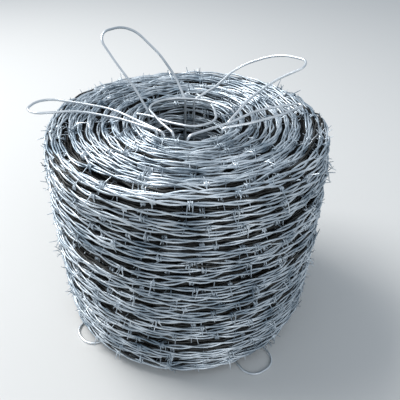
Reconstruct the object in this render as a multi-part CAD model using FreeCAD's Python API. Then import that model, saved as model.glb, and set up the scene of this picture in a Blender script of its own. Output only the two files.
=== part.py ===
# Coil of barbed wire standing on end: the wound coil, its four tie loops and two hoops over its mouth.
# Millimetres, +Z up. The origin is where the bore's axis meets the floor.
import FreeCAD, Part
import math
import os
from FreeCAD import Vector

sizes = {
    # the wound coil, turned as one solid
    "coil_height": 245.0,
    "bottom_radius": 151.0,
    "barrel_bulge": 4.5,
    "shoulder_radius": 150.0,
    "bore_radius": 43.5,
    "mouth_round": 6.0,
    "bottom_round": 14.0,
    "shoulder_round": 4.0,
    # the rings that show its turns
    "turn_pitch": 8.75,
    "layer_pitch": 8.4,
    "ring_depth": 1.4,
    "ring_half": 2.0,
    # tie wire
    "tie_wire_radius": 1.4,
    "channel_gap": 0.25,
    "floor_gap": 0.1,
    "lip_bend": 6.0,
    "lip_clearance": 1.2,
    "floor_bend": 6.0,
    "foot_bend": 17.0,
    "tail_depth": 30.0,
    "tail_bend": 5.0,
    "hoop_clearance": 0.3,
}

# Each tie loop: where its two legs run down the bore, its handle above the coil and its foot below.
# Handle points are in the handle's own plane: along it from the root, and to the side of it.
loops = {
    "tie_loop_left": {
        "first_leg": -131.0, "second_leg": -119.0,
        "azimuth": 188.0, "rise": 5.0, "root_x": -33.0, "root_y": -33.0,
        "first_knee": (34.0, -23.0), "first_waist": (78.0, -39.0), "first_tip": (135.0, -24.0),
        "second_tip": (120.0, -69.0), "second_waist": (76.0, -58.0), "second_knee": (42.0, -46.0),
        "foot_azimuth": -142.0, "foot_out": 9.0, "foot_half": 21.0,
    },
    "tie_loop_back_left": {
        "first_leg": 165.0, "second_leg": 95.0,
        "azimuth": 130.0, "rise": 45.0, "root_x": -25.0, "root_y": 32.0,
        "first_knee": (27.0, 28.0), "first_waist": (62.0, 36.0), "first_tip": (98.0, 42.0),
        "second_tip": (101.0, -2.0), "second_waist": (58.0, -22.0), "second_knee": (28.0, -28.0),
        "foot_azimuth": 124.0, "foot_out": 7.0, "foot_half": 19.0,
    },
    "tie_loop_back_right": {
        "first_leg": 82.0, "second_leg": -18.0,
        "azimuth": 35.0, "rise": 25.0, "root_x": 33.0, "root_y": 22.0,
        "first_knee": (24.0, 33.0), "first_waist": (62.0, 37.0), "first_tip": (102.0, 9.0),
        "second_tip": (110.0, -44.0), "second_waist": (70.0, -25.0), "second_knee": (34.0, -20.0),
        "foot_azimuth": 32.0, "foot_out": 7.0, "foot_half": 18.0,
    },
    "tie_loop_right": {
        "first_leg": -36.0, "second_leg": -88.0,
        "azimuth": 15.0, "rise": 5.0, "root_x": 33.0, "root_y": -30.0,
        "first_knee": (35.0, 1.0), "first_waist": (74.0, 7.0), "first_tip": (101.0, 18.0),
        "second_tip": (98.0, 25.0), "second_waist": (52.0, 27.0), "second_knee": (18.0, 11.0),
        "foot_azimuth": -57.0, "foot_out": 17.0, "foot_half": 20.0,
    },
}

# Each hoop lies over the mouth: the point where each tail goes down, and its bends between.
hoops = {
    "mouth_hoop_left": {
        "first_tail": (-12.4, -43.3), "second_tail": (50.5, 12.5),
        "bend_1": (-27.0, -20.0), "bend_2": (-46.0, 19.0), "bend_3": (-24.0, 42.5),
        "bend_4": (13.0, 41.0), "bend_5": (35.0, 29.0),
        "level": 1,
    },
    "mouth_hoop_right": {
        "first_tail": (8.0, 66.0), "second_tail": (-58.5, 7.5),
        "bend_1": (28.5, 29.0), "bend_2": (32.0, -8.0), "bend_3": (8.0, -24.5),
        "bend_4": (-22.0, -12.5), "bend_5": (-38.0, 1.0),
        "level": 0,
    },
}

doc = FreeCAD.newDocument("coil")
sheet = doc.addObject("Spreadsheet::Sheet", "Sizes")
row = 1


def addCell(alias, value):
    global row
    sheet.set("A%d" % row, alias)
    sheet.set("B%d" % row, str(value))
    sheet.setAlias("B%d" % row, alias)
    row += 1


for name, value in sizes.items():
    addCell(name, value)
for wireName, wire in list(loops.items()) + list(hoops.items()):
    for key, value in wire.items():
        if isinstance(value, tuple):
            addCell(wireName + "_" + key + "_along", value[0])
            addCell(wireName + "_" + key + "_side", value[1])
        else:
            addCell(wireName + "_" + key, value)
doc.recompute()


def size(alias):
    return float(sheet.get(alias))


def pair(alias):
    return size(alias + "_along"), size(alias + "_side")


def around(radius, degrees, z):
    a = math.radians(degrees)
    return Vector(radius * math.cos(a), radius * math.sin(a), z)


def bentPath(points, bends):
    """Straight runs joined by tangent arcs, one bend radius for each inner point."""
    edges = []
    start = points[0]
    for i in range(1, len(points) - 1):
        back = (points[i - 1] - points[i])
        ahead = (points[i + 1] - points[i])
        half = (math.pi - back.getAngle(ahead)) / 2
        shorter = min(back.Length, ahead.Length)
        radius = min(bends[i - 1], 0.45 * shorter / math.tan(half))
        trim = radius * math.tan(half)
        u, v = Vector(back).normalize(), Vector(ahead).normalize()
        into, out = points[i] + u * trim, points[i] + v * trim
        centre = points[i] + (u + v).normalize() * (radius / math.cos(half))
        middle = centre + (points[i] - centre).normalize() * radius
        edges.append(Part.LineSegment(start, into).toShape())
        edges.append(Part.Arc(into, middle, out).toShape())
        start = out
    edges.append(Part.LineSegment(start, points[-1]).toShape())
    return Part.Wire(edges)


def tube(path, radius):
    first = path.Edges[0]
    direction = first.tangentAt(first.FirstParameter)
    ring = Part.Wire([Part.makeCircle(radius, first.valueAt(first.FirstParameter), direction)])
    solid = path.makePipeShell([ring], True, True)
    expected = math.pi * radius ** 2 * path.Length
    if not solid.isValid() or abs(solid.Volume - expected) > 0.01 * expected:
        raise RuntimeError("tube volume %.1f, expected %.1f" % (solid.Volume, expected))
    return solid


# routes of the tie wire

wireRadius = size("tie_wire_radius")
legRadius = size("bore_radius") + wireRadius + 0.15
floorLevel = wireRadius + size("floor_gap")
lipLevel = size("coil_height") + wireRadius + size("lip_clearance")
easy = 60.0


def handlePoint(loopName, key):
    along, side = pair(loopName + "_" + key)
    azimuth = math.radians(size(loopName + "_azimuth"))
    rise = math.radians(size(loopName + "_rise"))
    out = Vector(math.cos(azimuth) * math.cos(rise), math.sin(azimuth) * math.cos(rise), math.sin(rise))
    left = Vector(-math.sin(azimuth), math.cos(azimuth), 0)
    root = Vector(size(loopName + "_root_x"), size(loopName + "_root_y"), lipLevel)
    return root + out * along + left * side


def footPoint(loopName, way):
    azimuth = math.radians(size(loopName + "_foot_azimuth"))
    out = Vector(math.cos(azimuth), math.sin(azimuth), 0)
    left = Vector(-math.sin(azimuth), math.cos(azimuth), 0)
    reach = size("bottom_radius") + size(loopName + "_foot_out")
    half = size(loopName + "_foot_half")
    return out * reach + left * (half * way) + Vector(0, 0, floorLevel)


def loopHalves(loopName):
    first, second = size(loopName + "_first_leg"), size(loopName + "_second_leg")
    middle = size("coil_height") / 2
    lip, low, foot = size("lip_bend"), size("floor_bend"), size("foot_bend")
    upper = [around(legRadius, first, middle), around(legRadius, first, lipLevel)]
    upper += [handlePoint(loopName, key) for key in
              ("first_knee", "first_waist", "first_tip", "second_tip", "second_waist", "second_knee")]
    upper += [around(legRadius, second, lipLevel), around(legRadius, second, middle)]
    legs = [around(legRadius, first, floorLevel), around(legRadius, second, floorLevel)]
    feet = [footPoint(loopName, 1), footPoint(loopName, -1)]
    straight = legs[0].distanceToPoint(feet[0]) + legs[1].distanceToPoint(feet[1])
    crossed = legs[0].distanceToPoint(feet[1]) + legs[1].distanceToPoint(feet[0])
    if crossed < straight:
        feet.reverse()
    lower = [around(legRadius, second, middle), legs[1], feet[1], feet[0], legs[0],
             around(legRadius, first, middle)]
    return (bentPath(upper, [lip] + [easy] * 6 + [lip]),
            bentPath(lower, [low, foot, foot, low]), legs, feet)


def hoopPath(hoopName):
    rest = size("coil_height") + wireRadius + size("hoop_clearance")
    level = rest + (2 * wireRadius + size("hoop_clearance")) * size(hoopName + "_level")
    low = size("coil_height") - size("tail_depth")
    keys = ["first_tail"] + ["bend_%d" % i for i in range(1, 6)] + ["second_tail"]
    points = [Vector(*pair(hoopName + "_" + key), level) for key in keys]
    tails = [Vector(points[0].x, points[0].y, low), Vector(points[-1].x, points[-1].y, low)]
    bends = [size("tail_bend")] + [easy] * 5 + [size("tail_bend")]
    return bentPath(tails[:1] + points + tails[1:], bends), points


# the wound coil

height = size("coil_height")
boreRadius, mouthRound = size("bore_radius"), size("mouth_round")
bottomRound, shoulderRound = size("bottom_round"), size("shoulder_round")
ringHalf, ringDepth = size("ring_half"), size("ring_depth")
bulge = size("barrel_bulge")
barrelCurve = ((height / 2) ** 2 + bulge ** 2) / (2 * bulge)


def barrelPoint(z, inset=0.0):
    lean = size("bottom_radius") + (size("shoulder_radius") - size("bottom_radius")) * z / height
    sag = math.sqrt(barrelCurve ** 2 - (z - height / 2) ** 2)
    sag -= math.sqrt(barrelCurve ** 2 - (height / 2) ** 2)
    return Vector(lean + sag - inset, 0, z)


def ringPlaces(low, high, pitch):
    count = int((high - low) / pitch) + 1
    return [low + i * (high - low) / (count - 1) for i in range(count)]


# the coil's half section, from the foot of the bore round to its mouth, with a ring between turns
profile = []
diagonal = 1 - math.sqrt(0.5)


def penPoint():
    return profile[-1].valueAt(profile[-1].LastParameter) if profile else Vector(boreRadius, 0, 0)


def lineTo(point):
    profile.append(Part.LineSegment(penPoint(), point).toShape())


def arcTo(through, point):
    profile.append(Part.Arc(penPoint(), through, point).toShape())


sideRings = ringPlaces(bottomRound + 4.0, height - shoulderRound - 5.0, size("turn_pitch"))
innerRing = boreRadius + mouthRound + ringHalf + 1.0
topRings = ringPlaces(innerRing, size("shoulder_radius") - shoulderRound - 4.0, size("layer_pitch"))
bottomRings = ringPlaces(innerRing, size("bottom_radius") - bottomRound - 4.0, size("layer_pitch"))
for r in bottomRings:
    lineTo(Vector(r - ringHalf, 0, 0))
    lineTo(Vector(r, 0, ringDepth))
    lineTo(Vector(r + ringHalf, 0, 0))
foot = barrelPoint(bottomRound)
lineTo(Vector(foot.x - bottomRound, 0, 0))
arcTo(Vector(foot.x - bottomRound * diagonal, 0, bottomRound * diagonal), foot)
for z in sideRings:
    lineTo(barrelPoint(z - ringHalf))
    lineTo(barrelPoint(z, ringDepth))
    lineTo(barrelPoint(z + ringHalf))
shoulder = barrelPoint(height - shoulderRound)
lineTo(shoulder)
arcTo(shoulder + Vector(-shoulderRound * diagonal, 0, shoulderRound * (1 - diagonal)),
      shoulder + Vector(-shoulderRound, 0, shoulderRound))
for r in reversed(topRings):
    lineTo(Vector(r + ringHalf, 0, height))
    lineTo(Vector(r, 0, height - ringDepth))
    lineTo(Vector(r - ringHalf, 0, height))
lineTo(Vector(boreRadius + mouthRound, 0, height))
arcTo(Vector(boreRadius + mouthRound * diagonal, 0, height - mouthRound * diagonal),
      Vector(boreRadius, 0, height - mouthRound))
lineTo(Vector(boreRadius, 0, 0))
section = doc.addObject("Part::Feature", "CoilSection")
section.Shape = Part.Face(Part.Wire(profile))
turned = doc.addObject("Part::Revolution", "TurnedCoil")
turned.Source = section
turned.Axis = Vector(0, 0, 1)
turned.Base = Vector(0, 0, 0)
turned.Angle = 360.0
turned.Solid = True
doc.recompute()

# the channels that the tie wire lies in, cut as flat-sided slots
channels = []
room = wireRadius + size("channel_gap")
halves = {name: loopHalves(name) for name in loops}


def slot(place, direction, outline):
    """A slot across the upright plane through place, outlined by (distance along, height) pairs."""
    along = Vector(direction.x, direction.y, 0).normalize()
    across = Vector(-along.y, along.x, 0) * room
    corners = [Vector(place.x, place.y, 0) + along * s + Vector(0, 0, z) - across for s, z in outline]
    return Part.Face(Part.makePolygon(corners + corners[:1])).extrude(across * 2)


def bendSlot(place, direction, bend, level, far):
    """Room for a wire that turns from upright to level over an edge, on the outer side of its bend."""
    up = 1 if far > level else -1
    return slot(place, direction, [
        (-room, level - up * bend), (room, level - up * bend), (room, level - up * bend * 0.84),
        (bend * 0.95, level - up * room), (bend * 0.95, far), (-room, far)])


above, below = height + 4.0, -4.0
for name, (upperPath, lowerPath, legs, feet) in halves.items():
    knees = [handlePoint(name, "first_knee"), handlePoint(name, "second_knee")]
    for leg, foot, knee in zip(legs, feet, knees):
        channels.append(slot(leg, leg, [(-4, below), (room, below), (room, above), (-4, above)]))
        reach = Vector(foot.x - leg.x, foot.y - leg.y, 0).Length + room
        top = floorLevel + room
        channels.append(slot(leg, foot - leg, [
            (-4, below), (reach, below), (reach, top), (size("floor_bend"), top),
            (room, size("floor_bend") + top - room), (-4, size("floor_bend") + top - room)]))
        channels.append(bendSlot(leg, knee - leg, size("lip_bend"), lipLevel, above))
hoopPaths = {name: hoopPath(name) for name in hoops}
for name, (path, points) in hoopPaths.items():
    bottom = height - size("tail_depth") - size("channel_gap")
    for end, ahead in ((points[0], points[1]), (points[-1], points[-2])):
        inBore = Vector(end.x, end.y, 0).Length < boreRadius + mouthRound
        inner = -4.0 if inBore else -room
        channels.append(slot(end, end, [(inner, bottom), (room, bottom), (room, above), (inner, above)]))
        channels.append(bendSlot(end, ahead - end, size("tail_bend"), end.z, above + 4.0))

carved = turned.Shape
for tool in channels:
    before = carved.Volume
    smaller = carved.cut(tool)
    if len(smaller.Solids) != 1 or not 0 <= before - smaller.Volume <= tool.Volume * 1.01 + 1.0:
        raise RuntimeError("a channel took %.1f mm3 of %.1f, leaving %d solids" % (
            before - smaller.Volume, tool.Volume, len(smaller.Solids)))
    carved = smaller
coil = doc.addObject("Part::Feature", "Coil")
coil.Shape = carved
coil.Label = "barbed_wire_coil"
coil.Placement = FreeCAD.Placement()
doc.recompute()

pieces = [coil]

# tie loops and hoops

for name, (upperPath, lowerPath, legs, feet) in halves.items():
    upperHalf = doc.addObject("Part::Feature", name + "_upper")
    upperHalf.Shape = tube(upperPath, wireRadius)
    lowerHalf = doc.addObject("Part::Feature", name + "_lower")
    lowerHalf.Shape = tube(lowerPath, wireRadius)
    ring = doc.addObject("Part::Fuse", name)
    ring.Base = upperHalf
    ring.Tool = lowerHalf
    ring.Refine = True
    ring.Label = name
    ring.Placement = FreeCAD.Placement()
    pieces.append(ring)
for name, (path, points) in hoopPaths.items():
    hoop = doc.addObject("Part::Feature", name)
    hoop.Shape = tube(path, wireRadius)
    hoop.Label = name
    hoop.Placement = FreeCAD.Placement()
    pieces.append(hoop)
doc.recompute()

os.makedirs("parts", exist_ok=True)
for feature in doc.Objects:
    if "Invalid" in feature.State or "Error" in feature.State:
        raise RuntimeError("%s is in state %s" % (feature.Label, feature.State))
for piece in pieces:
    shape = piece.Shape
    if not shape.isValid() or len(shape.Solids) != 1:
        raise RuntimeError("%s: valid %s, %d solids" % (piece.Label, shape.isValid(), len(shape.Solids)))
    box = shape.BoundBox
    print("%-22s %9.0f mm3  z %.2f to %.2f" % (piece.Label, shape.Volume, box.ZMin, box.ZMax))
    shape.exportStep("parts/%s.step" % piece.Label)
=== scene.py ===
import bpy
import bmesh
import math
import numpy as np
from mathutils import Matrix, Vector


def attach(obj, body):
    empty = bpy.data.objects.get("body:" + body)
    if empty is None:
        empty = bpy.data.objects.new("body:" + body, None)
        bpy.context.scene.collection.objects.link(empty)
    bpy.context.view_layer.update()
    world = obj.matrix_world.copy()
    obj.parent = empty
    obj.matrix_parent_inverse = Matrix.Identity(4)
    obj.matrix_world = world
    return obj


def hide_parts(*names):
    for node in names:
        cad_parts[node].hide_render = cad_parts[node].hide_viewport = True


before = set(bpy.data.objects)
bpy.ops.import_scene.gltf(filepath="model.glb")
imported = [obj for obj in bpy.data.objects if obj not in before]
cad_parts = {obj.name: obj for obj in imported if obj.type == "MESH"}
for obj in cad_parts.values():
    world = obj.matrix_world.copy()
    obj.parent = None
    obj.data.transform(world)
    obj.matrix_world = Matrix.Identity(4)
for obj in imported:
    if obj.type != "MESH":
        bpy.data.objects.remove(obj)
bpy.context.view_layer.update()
dice = np.random.default_rng(41)
mm = 0.001

# line wire and how it is wound; lengths in millimetres
lineWire = {
    "strandRadius": 1.0,      # 2 mm strand
    "strandOpening": 1.4,     # from the pair's middle to each strand's middle
    "openingVaries": 0.3,
    "lay": 58.0,              # one full twist of the pair
    "turnPitch": 7.2,
    "layers": 3,
    "layerRise": 3.0,
    "step": 6.0,              # length of one piece of strand
    "restless": 0.35,         # how far the pair strays up and down from where it rests
    "wanderOnSide": 6.0,
    "wanderOnEnds": 10.0,
    "proud": 1.2,             # how far a turn may stand above its layer
}

# where the middle of the outermost wire runs
windingShape = {
    "boreRadius": 48.4,
    "topLevel": 244.8,
    "bottomLevel": 5.0,
    "shoulderRadius": 149.5,
    "bottomRadius": 148.5,
    "bulge": 5.0,
    "innerRound": 8.0,
    "shoulderRound": 7.0,
    "bottomRound": 16.0,
    "coreGap": 1.6,           # from the deepest turns down to the plain core
}

barbShape = {
    "wireRadius": 0.72,
    "spacing": 125.0,
    "wrapTurns": 1.5,
    "wrapStep": 72.0,         # degrees between points of the wrap
    "wrapPitch": 1.7,
    "spike": 10.0,
    "splay": 1.56,            # how far a cut end may lean along the pair
    "apart": 2.6,             # between the two wires of a barb
    "lift": 1.4,              # how far a barb holds the next turn off
    "pointWidth": 0.45,       # of a cut end, as a share of the wire
    "floorGap": 0.9,          # cut ends near the floor are bent up to this height
}


def hexColour(code, alpha=1.0):
    channels = [int(code[i:i + 2], 16) / 255 for i in (1, 3, 5)]
    return tuple(c / 12.92 if c <= 0.04045 else ((c + 0.055) / 1.055) ** 2.4 for c in channels) + (alpha,)


def addNode(material, kind, settings=None, links=None):
    # links: input name or number -> (node, output name or number)
    node = material.node_tree.nodes.new(kind)
    for key, value in (settings or {}).items():
        if isinstance(key, str) and hasattr(node, key):
            setattr(node, key, value)
        else:
            node.inputs[key].default_value = value
    for key, (source, output) in (links or {}).items():
        material.node_tree.links.new(source.outputs[output], node.inputs[key])
    return node


def newMaterial(name):
    material = bpy.data.materials.new(name)
    material.use_nodes = True
    material.node_tree.nodes.clear()
    return material


def setRamp(node, stops):
    ramp = node.color_ramp
    while len(ramp.elements) < len(stops):
        ramp.elements.new(0.5)
    for element, (place, colour) in zip(ramp.elements, stops):
        element.position = place
        element.color = colour


def galvanisedWire(name, pale, dull, roughness, patchSize, grainSize, grainDepth):
    # hot-dip zinc on drawn steel: dull blue grey with pale spangle patches and a slightly uneven skin
    material = newMaterial(name)
    place = addNode(material, "ShaderNodeTexCoord")
    patches = addNode(material, "ShaderNodeTexNoise",
                      {"Scale": 1 / (patchSize * mm), "Detail": 3.0, "Roughness": 0.6},
                      {"Vector": (place, "Object")})
    tone = addNode(material, "ShaderNodeValToRGB", links={"Fac": (patches, "Fac")})
    setRamp(tone, [(0.32, hexColour(dull)), (0.66, hexColour(pale))])
    dulling = addNode(material, "ShaderNodeMapRange",
                      {"From Min": 0.3, "From Max": 0.7,
                       "To Min": roughness + 0.1, "To Max": roughness - 0.08},
                      {"Value": (patches, "Fac")})
    grain = addNode(material, "ShaderNodeTexNoise", {"Scale": 1 / (grainSize * mm), "Detail": 2.0},
                    {"Vector": (place, "Object")})
    bump = addNode(material, "ShaderNodeBump", {"Strength": 0.5, "Distance": grainDepth * mm},
                   {"Height": (grain, "Fac")})
    skin = addNode(material, "ShaderNodeBsdfPrincipled", {"Metallic": 0.8},
                   {"Base Color": (tone, "Color"), "Roughness": (dulling, "Result"),
                    "Normal": (bump, "Normal")})
    addNode(material, "ShaderNodeOutputMaterial", links={"Surface": (skin, "BSDF")})
    return material


def shadedCore(name):
    # packed turns deep in the coil: near-black steel as painted shade, with fine lines of wire round the
    # axis
    material = newMaterial(name)
    place = addNode(material, "ShaderNodeTexCoord")
    lines = addNode(material, "ShaderNodeTexNoise", {"Scale": 1 / (6.0 * mm), "Detail": 2.0},
                    {"Vector": (place, "Object")})
    tone = addNode(material, "ShaderNodeValToRGB", links={"Fac": (lines, "Fac")})
    setRamp(tone, [(0.35, hexColour("#0E1012")), (0.7, hexColour("#202326"))])
    bump = addNode(material, "ShaderNodeBump", {"Strength": 0.6, "Distance": 0.6 * mm},
                   {"Height": (lines, "Fac")})
    skin = addNode(material, "ShaderNodeBsdfPrincipled", {"Metallic": 0.3, "Roughness": 0.75},
                   {"Base Color": (tone, "Color"), "Normal": (bump, "Normal")})
    addNode(material, "ShaderNodeOutputMaterial", links={"Surface": (skin, "BSDF")})
    return material


def plainFloor(name):
    material = newMaterial(name)
    skin = addNode(material, "ShaderNodeBsdfPrincipled",
                   {"Base Color": hexColour("#D9D8D5"), "Roughness": 0.85})
    addNode(material, "ShaderNodeOutputMaterial", links={"Surface": (skin, "BSDF")})
    return material


lineWireZinc = galvanisedWire("galvanised_line_wire", "#EAF1F6", "#8797A3", 0.42, 26.0, 1.2, 0.05)
# the turns under the last layer: zinc darkened as painted shade, which makes the gaps read as deep
paintedShadeZinc = galvanisedWire("line_wire_painted_shade", "#5A5A58", "#1A1917", 0.5, 26.0, 1.2, 0.05)
tieWireZinc = galvanisedWire("galvanised_tie_wire", "#F0F3F5", "#C4CBD0", 0.34, 45.0, 1.6, 0.03)
paintedShadeCore = shadedCore("inner_turns_painted_shade")
print("materials made")


# the section that the turns follow
def windingOutline():
    # closed outline in (radius, height): up the bore, out over the top, down the side, in along the bottom
    w = windingShape
    corners = [
        (w["boreRadius"], w["bottomLevel"], w["innerRound"]),
        (w["boreRadius"], w["topLevel"], w["innerRound"]),
        (w["shoulderRadius"], w["topLevel"], w["shoulderRound"]),
        (w["bottomRadius"], w["bottomLevel"], w["bottomRound"]),
    ]
    points = []
    for i, (r, z, rounding) in enumerate(corners):
        before, after = corners[i - 1], corners[(i + 1) % 4]
        into = np.array([np.sign(round(r - before[0], -1)), np.sign(round(z - before[1], -1))])
        out = np.array([np.sign(round(after[0] - r, -1)), np.sign(round(after[1] - z, -1))])
        centre = np.array([r, z]) + (out - into) * rounding
        for turn in np.linspace(0, math.pi / 2, 7):
            points.append(centre - out * rounding * math.cos(turn) + into * rounding * math.sin(turn))
    dense = []
    for a, b in zip(points, points[1:] + points[:1]):
        count = max(int(np.hypot(*(b - a)) / 2.0), 1)
        dense += [a + (b - a) * k / count for k in range(count)]
    dense = np.array(dense)
    middle = (w["topLevel"] + w["bottomLevel"]) / 2
    half = (w["topLevel"] - w["bottomLevel"]) / 2
    outer = np.clip((dense[:, 0] - 100) / 40, 0, 1)
    dense[:, 0] += outer * w["bulge"] * (1 - ((dense[:, 1] - middle) / half) ** 2)
    return dense


outline = windingOutline()
nextPoint = np.roll(outline, -1, axis=0)
legs = np.hypot(*(nextPoint - outline).T)
outlineLength = legs.sum()
outlineAt = np.concatenate([[0], np.cumsum(legs)])
wrapped = np.vstack([outline, outline[:1]])
slope = np.roll(outline, -1, axis=0) - np.roll(outline, 1, axis=0)
slope /= np.hypot(*slope.T)[:, None]
outward = np.stack([-slope[:, 1], slope[:, 0]], axis=1)
outwardWrapped = np.vstack([outward, outward[:1]])


def onSection(s):
    s = np.mod(s, outlineLength)
    r, z = (np.interp(s, outlineAt, wrapped[:, k]) for k in (0, 1))
    nr, nz = (np.interp(s, outlineAt, outwardWrapped[:, k]) for k in (0, 1))
    size = np.hypot(nr, nz)
    return r, z, nr / size, nz / size


fine = 1.5                    # spacing of the path while it is laid, mm
angleBins, sectionBins = 560, int(outlineLength / 1.1)
layers = lineWire["layers"]


def wander(length, waves, shortest, longest):
    # a smooth random drift along the wire, about 1 at its peaks
    total = np.zeros_like(length)
    for k in range(waves):
        wavelength = shortest * (longest / shortest) ** dice.random()
        phase = 2 * math.pi * dice.random()
        total += np.sin(2 * math.pi * length / wavelength + phase) * dice.uniform(0.6, 1.0)
    return total / (0.55 * waves)


def layPath():
    # the pair's route as angle and place on the section, worked out in steps of the fine spacing
    angle, s = 0.0, 0.0
    angles, places = [], []
    total = layers * outlineLength
    while s < total:
        r = float(np.interp(s % outlineLength, outlineAt, wrapped[:, 0]))
        angles.append(angle)
        places.append(s)
        turn = fine / r
        angle += turn
        s += lineWire["turnPitch"] * turn / (2 * math.pi)
    return np.array(angles), np.array(places)


def slidingMax(values, half):
    padded = np.pad(values, half, mode="edge")
    return np.lib.stride_tricks.sliding_window_view(padded, 2 * half + 1).max(axis=1)


def slidingMean(values, half):
    window = np.hanning(2 * half + 3)[1:-1]
    return np.convolve(np.pad(values, half, mode="edge"), window / window.sum(), mode="valid")


def layHeights(angles, places, isBarb):
    # each turn rests on the turns under it: a map of how high the winding stands, raised turn by turn
    stand = np.zeros((angleBins, sectionBins))
    heights = np.zeros(len(angles))
    rows = np.floor(np.mod(angles, 2 * math.pi) / (2 * math.pi) * angleBins).astype(int) % angleBins
    columns = np.floor(np.mod(places, outlineLength) / outlineLength * sectionBins).astype(int) % sectionBins
    starts = np.searchsorted(angles, np.arange(0, angles[-1], 2 * math.pi))
    ends = np.append(starts[1:], len(angles))
    for start, end in zip(starts, ends):
        row, column = rows[start:end], columns[start:end]
        under = np.zeros(end - start)
        for a in (-1, 0, 1):
            for b in (-1, 0, 1):
                under = np.maximum(under, stand[(row + a) % angleBins, (column + b) % sectionBins])
        resting = slidingMean(slidingMax(under, 5), 11)
        heights[start:end] = resting
        crest = resting + lineWire["layerRise"] + np.where(isBarb[start:end], barbShape["lift"], 0.0)
        for a in (-1, 0, 1):
            for b in (-1, 0, 1):
                np.maximum.at(stand, ((row + a) % angleBins, (column + b) % sectionBins), crest)
    return slidingMean(heights, 7)


angles, places = layPath()
runLength = np.arange(len(angles)) * fine
# the ends are laid less evenly than the side
rises = windingShape["topLevel"] - windingShape["bottomLevel"]
across = windingShape["shoulderRadius"] - windingShape["boreRadius"]
# the side takes the stretch of the section from the shoulder down to the bottom round
sideStart = rises + across - 2 * windingShape["innerRound"]
nominal = np.mod(places, outlineLength)
onSide = (nominal > sideStart) & (nominal < sideStart + rises)
reach = slidingMean(np.where(onSide, lineWire["wanderOnSide"], lineWire["wanderOnEnds"]), 500)
drift = reach * wander(runLength, 13, 90.0, 1300.0)
barbAt = []
nextBarb = 30.0
while nextBarb < runLength[-1] - 30:
    barbAt.append(int(nextBarb / fine))
    nextBarb += barbShape["spacing"] * dice.uniform(0.93, 1.07)
isBarb = np.zeros(len(angles), bool)
for k in barbAt:
    isBarb[max(k - 2, 0):k + 3] = True
heights = layHeights(angles, places + drift, isBarb)
# the level that the last layer stands at: the winding's outline is laid through it
band = float(np.percentile(heights[places > (layers - 1) * outlineLength], 60))
heights += lineWire["restless"] * wander(runLength, 7, 60.0, 240.0)
heights = np.minimum(heights, band + lineWire["proud"])
print("wound", round(runLength[-1] / 1000, 1), "m of pair; last layer stands at", round(band, 2), "mm")

r, z, nr, nz = onSection(places + drift)
depth = heights - band
pairR, pairZ = r + nr * depth, z + nz * depth
middles = np.stack([pairR * np.cos(angles), pairR * np.sin(angles), pairZ], axis=1)
normals = np.stack([nr * np.cos(angles), nr * np.sin(angles), nz], axis=1)
tangents = np.gradient(middles, axis=0)
tangents /= np.linalg.norm(tangents, axis=1)[:, None]
normals -= tangents * (normals * tangents).sum(axis=1)[:, None]
normals /= np.linalg.norm(normals, axis=1)[:, None]
sideways = np.cross(tangents, normals)
layTwist = 2 * math.pi * runLength / lineWire["lay"] + 0.9 * wander(runLength, 5, 200.0, 800.0)
opening = lineWire["strandOpening"] * (1 + lineWire["openingVaries"] * wander(runLength, 6, 90.0, 400.0))
opening = np.maximum(opening, lineWire["strandRadius"])


def wireCurve(name, runs, radius, resolution, material, radii=None):
    # each run is an array of points in millimetres; the bevel makes it a round wire
    data = bpy.data.curves.new(name, "CURVE")
    data.dimensions = "3D"
    data.bevel_depth = radius * mm
    data.bevel_resolution = resolution
    data.use_fill_caps = True
    for run in runs:
        spline = data.splines.new("POLY")
        spline.points.add(len(run) - 1)
        spline.points.foreach_set("co", np.hstack([run * mm, np.ones((len(run), 1))]).ravel())
        if radii is not None:
            spline.points.foreach_set("radius", radii)
        spline.use_smooth = True
    data.materials.append(material)
    piece = bpy.data.objects.new(name, data)
    bpy.context.collection.objects.link(piece)
    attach(piece, "root")
    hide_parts("barbed_wire_coil")
    return piece


every = int(round(lineWire["step"] / fine))
layerOf = np.minimum((places / outlineLength).astype(int), layers - 1)


def strandRuns(chosen, side):
    # both strands of the pair along every unbroken stretch of the chosen samples
    picked = np.flatnonzero(chosen)
    breaks = np.flatnonzero(np.diff(picked) > 1) + 1
    runs = []
    for stretch in np.split(picked, breaks):
        last = min(stretch[-1] + every + 1, len(angles) - 1)
        samples = np.arange(stretch[0] - stretch[0] % every, last, every)
        if len(samples) < 4:
            continue
        turn = layTwist[samples] + side * math.pi
        offset = normals[samples] * np.cos(turn)[:, None] + sideways[samples] * np.sin(turn)[:, None]
        runs.append(middles[samples] + offset * opening[samples][:, None])
    return runs


for layer in range(layers):
    for region, mask in (("side", onSide), ("ends_and_bore", ~onSide)):
        runs = [run for side in (0, 1) for run in strandRuns(mask & (layerOf == layer), side)]
        # the ends lie open to the sky, so their second layer gets no painted shade, like the last
        unshadedLayers = 2 if region == "ends_and_bore" else 1
        # deeper layers take the darkened copy of the zinc: painted shade in the gaps
        zinc = lineWireZinc if layer >= layers - unshadedLayers else paintedShadeZinc
        wireCurve("turns_%d_%s" % (layer + 1, region), runs, lineWire["strandRadius"], 1, zinc)
print("strands made")


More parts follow.
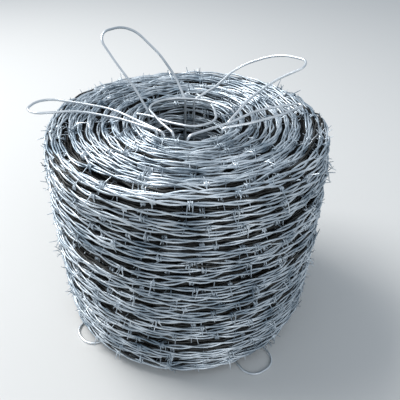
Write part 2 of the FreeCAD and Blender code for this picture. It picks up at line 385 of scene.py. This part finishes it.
def barbRuns(chosen):
    # two short wires wrapped side by side round the pair, their cut ends standing out as four points
    b = barbShape
    runs = []
    for k in chosen:
        t, n, v, c = tangents[k], normals[k], sideways[k], middles[k]
        wrapRadius = opening[k] + lineWire["strandRadius"] * 0.55 + b["wireRadius"]
        roll = dice.uniform(0, 2 * math.pi)
        for wire in (0, 1):
            start = roll + wire * dice.uniform(1.2, 1.9)
            shift = (wire - 0.5) * b["apart"]
            count = int(360 * b["wrapTurns"] / b["wrapStep"]) + 1
            turn = start + np.radians(b["wrapStep"]) * np.arange(count)
            slide = shift + b["wrapPitch"] * (np.arange(count) / (count - 1) - 0.5)
            ring = np.cos(turn)[:, None] * n + np.sin(turn)[:, None] * v
            loop = c + wrapRadius * ring + slide[:, None] * t
            along = -np.sin(turn)[:, None] * n + np.cos(turn)[:, None] * v
            spikes = [b["spike"] * dice.uniform(0.65, 1.25) for end in (0, 1)]
            first = loop[0] - along[0] * spikes[0] + t * dice.normal(0, b["splay"])
            second = loop[-1] + along[-1] * spikes[1] + t * dice.normal(0, b["splay"])
            run = np.vstack([first, loop, second])
            run[:, 2] = np.maximum(run[:, 2], b["floorGap"])
            runs.append(run)
    return runs


count = int(360 * barbShape["wrapTurns"] / barbShape["wrapStep"]) + 1
pointed = [barbShape["pointWidth"]] + [1.0] * count + [barbShape["pointWidth"]]
barbAt = np.array(barbAt)
for region, mask in (("side", onSide), ("ends_and_bore", ~onSide)):
    chosen = [k for k in barbAt if mask[k]]
    wireCurve("barbs_" + region, barbRuns(chosen), barbShape["wireRadius"], 0, lineWireZinc, pointed)
    print("barbs", region, len(chosen))


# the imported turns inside, seen only through the gaps
def packedCore():
    inset = band + windingShape["coreGap"]
    mesh = bmesh.new()
    ring = []
    for (rr, zz), (a, b) in zip(outline[::3], outward[::3]):
        ring.append(mesh.verts.new(((rr - a * inset) * mm, 0, (zz - b * inset) * mm)))
    edges = [mesh.edges.new((p, q)) for p, q in zip(ring, ring[1:] + ring[:1])]
    bmesh.ops.spin(mesh, geom=ring + edges, cent=(0, 0, 0), axis=(0, 0, 1), dvec=(0, 0, 0),
                   angle=2 * math.pi, steps=96, use_merge=True)
    bmesh.ops.remove_doubles(mesh, verts=mesh.verts, dist=1e-6)
    bmesh.ops.recalc_face_normals(mesh, faces=mesh.faces)
    for face in mesh.faces:
        face.smooth = True
    data = bpy.data.meshes.new("packed_turns")
    mesh.to_mesh(data)
    mesh.free()
    # the core is near-black: painted shade seen through the gaps
    data.materials.append(paintedShadeCore)
    piece = bpy.data.objects.new("packed_turns", data)
    bpy.context.collection.objects.link(piece)
    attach(piece, "root")
    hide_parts("barbed_wire_coil")
    return piece


packedCore()

for name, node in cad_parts.items():
    node.data.materials.clear()
    node.data.materials.append(tieWireZinc if name != "barbed_wire_coil" else lineWireZinc)
print("tie wires finished")


studio = {
    "world": 0.58,
    "lamps": [
        # name, place, aim, size, watts
        ("overhead_left", (-1.1, 0.5, 1.7), (0, 0, 0.2), 1.2, 42.0),
        ("front_fill", (0.9, -1.6, 1.1), (0, 0, 0.15), 1.0, 6.0),
    ],
}
cameraPlace = {
    "location": (0.0152, -0.4544, 0.4625),
    "pitchDown": 35.58,
    "roll": 1.04,
    "lens": 41.4,
}

bpy.ops.mesh.primitive_plane_add(size=6)
floor = bpy.context.object
floor.name = "floor"
floor.data.materials.append(plainFloor("pale_floor"))

world = bpy.data.worlds.new("soft_daylight")
bpy.context.scene.world = world
world.use_nodes = True
world.node_tree.nodes["Background"].inputs["Color"].default_value = hexColour("#DCE9F7")
world.node_tree.nodes["Background"].inputs["Strength"].default_value = studio["world"]
for name, place, aim, size, watts in studio["lamps"]:
    lamp = bpy.data.lights.new(name, "AREA")
    lamp.energy = watts
    lamp.size = size
    holder = bpy.data.objects.new(name, lamp)
    holder.location = place
    holder.rotation_euler = (Vector(aim) - Vector(place)).to_track_quat("-Z", "Y").to_euler()
    bpy.context.collection.objects.link(holder)

camera = bpy.data.objects.new("camera", bpy.data.cameras.new("camera"))
camera.data.lens = cameraPlace["lens"]
camera.data.sensor_width = 36.0
camera.data.clip_start = 0.01
tilt = Matrix.Rotation(math.radians(90 - cameraPlace["pitchDown"]), 4, "X")
camera.matrix_world = (Matrix.Translation(cameraPlace["location"]) @ tilt
                       @ Matrix.Rotation(math.radians(cameraPlace["roll"]), 4, "Z"))
bpy.context.collection.objects.link(camera)
bpy.context.scene.camera = camera
bpy.context.scene.view_settings.view_transform = "Standard"
print("stage set")

bpy.context.view_layer.update()
